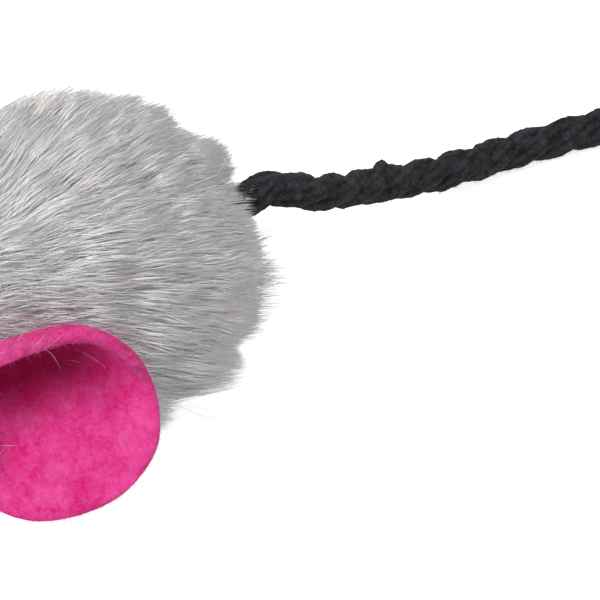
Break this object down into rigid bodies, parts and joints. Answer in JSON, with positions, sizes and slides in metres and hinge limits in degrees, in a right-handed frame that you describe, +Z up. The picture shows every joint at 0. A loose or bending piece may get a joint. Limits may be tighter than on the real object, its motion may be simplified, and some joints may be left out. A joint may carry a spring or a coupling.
{
  "type": "catnip mouse",
  "caption": "Stuffed plush mouse toy with long-pile skin round a catnip pouch, cupped felt ears that fold at their seams, and a twisted rope tail that swings at its root.",
  "frame": {"origin": "on the floor, on the flat belly patch, under the widest part of the body", "axes": "+X from the nose towards the tail, +Y towards the right side, +Z up"},
  "size_m": [0.2036, 0.0872, 0.0491],
  "materials": {
    "plush": "long-pile plush",
    "felt": "thick felt",
    "rope": "twisted soft yarn",
    "grey_thread": "sewing thread",
    "pink_thread": "sewing thread",
    "polyester_fibre": "loose fibre",
    "cotton_cloth": "plain weave",
    "catnip": "dried leaf",
    "bead": "glossy",
    "washer_plastic": "matte"
  },
  "bodies": {
    "body": {"left_side_panel": "plush", "right_side_panel": "plush", "belly_panel": "plush", "dorsal_seam_thread": "grey_thread", "belly_seam_thread": "grey_thread", "closing_stitch": "grey_thread", "catnip_pouch": "cotton_cloth", "catnip_fill": "catnip", "pouch_tie": "grey_thread", "stuffing": "polyester_fibre", "left_ear_stitch": "pink_thread", "right_ear_stitch": "pink_thread", "left_eye": "bead", "right_eye": "bead", "left_eye_washer": "washer_plastic", "right_eye_washer": "washer_plastic", "nose": "felt", "tail_root": "rope"},
    "left_ear": {"left_ear": "felt"},
    "right_ear": {"right_ear": "felt"},
    "tail": {"tail": "rope", "tail_end_knot": "rope"}
  },
  "joints": [
    {"name": "left_ear_fold", "type": "hinge", "parent": "body", "child": "left_ear", "pos_m": [-0.03352, -0.01745, 0.03066], "axis": [-0.2721, -0.5457, -0.7926], "range_deg": [0, 75], "stiffness_Nm_per_rad": 0.0012},
    {"name": "right_ear_fold", "type": "hinge", "parent": "body", "child": "right_ear", "pos_m": [-0.03352, 0.01744, 0.03067], "axis": [0.2721, -0.5457, 0.7926], "range_deg": [-24, 50], "stiffness_Nm_per_rad": 0.0012},
    {"name": "tail_swing", "type": "hinge", "parent": "body", "child": "tail", "pos_m": [0.0283, 0, 0.0208], "axis": [0, 0, 1], "range_deg": [-50, 50]}
  ]
}
